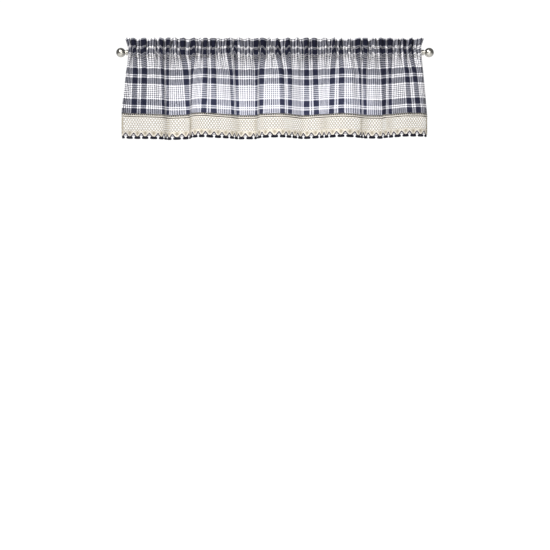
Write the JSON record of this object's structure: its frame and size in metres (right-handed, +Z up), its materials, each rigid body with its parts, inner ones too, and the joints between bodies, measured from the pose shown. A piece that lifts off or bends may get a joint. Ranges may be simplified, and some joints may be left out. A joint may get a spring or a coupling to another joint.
{
  "type": "window valance on a rod",
  "caption": "Gathered plaid window valance with a ruffled header, a cream lace border and a navy crocheted edge, hung on a slim metal rod with ball finials.",
  "frame": {"origin": "middle of the rod's axis", "axes": "+X along the rod to the viewer's right, the front of the valance faces -Y, +Z up"},
  "size_m": [1.1176, 0.0803, 0.3536],
  "materials": {
    "plaid_cloth": "light plain-woven cotton, white ground with navy bands and thin grey check lines",
    "cream_lace": "cream cotton machine lace, matt",
    "navy_crochet": "navy crocheted cotton yarn, matt",
    "satin_nickel": "satin nickel plating"
  },
  "bodies": {
    "root": {"plaid_panel": "plaid_cloth", "lace_border": "cream_lace", "crochet_edging": "navy_crochet", "rod": "satin_nickel", "finial_left": "satin_nickel", "finial_right": "satin_nickel"}
  },
  "joints": []
}
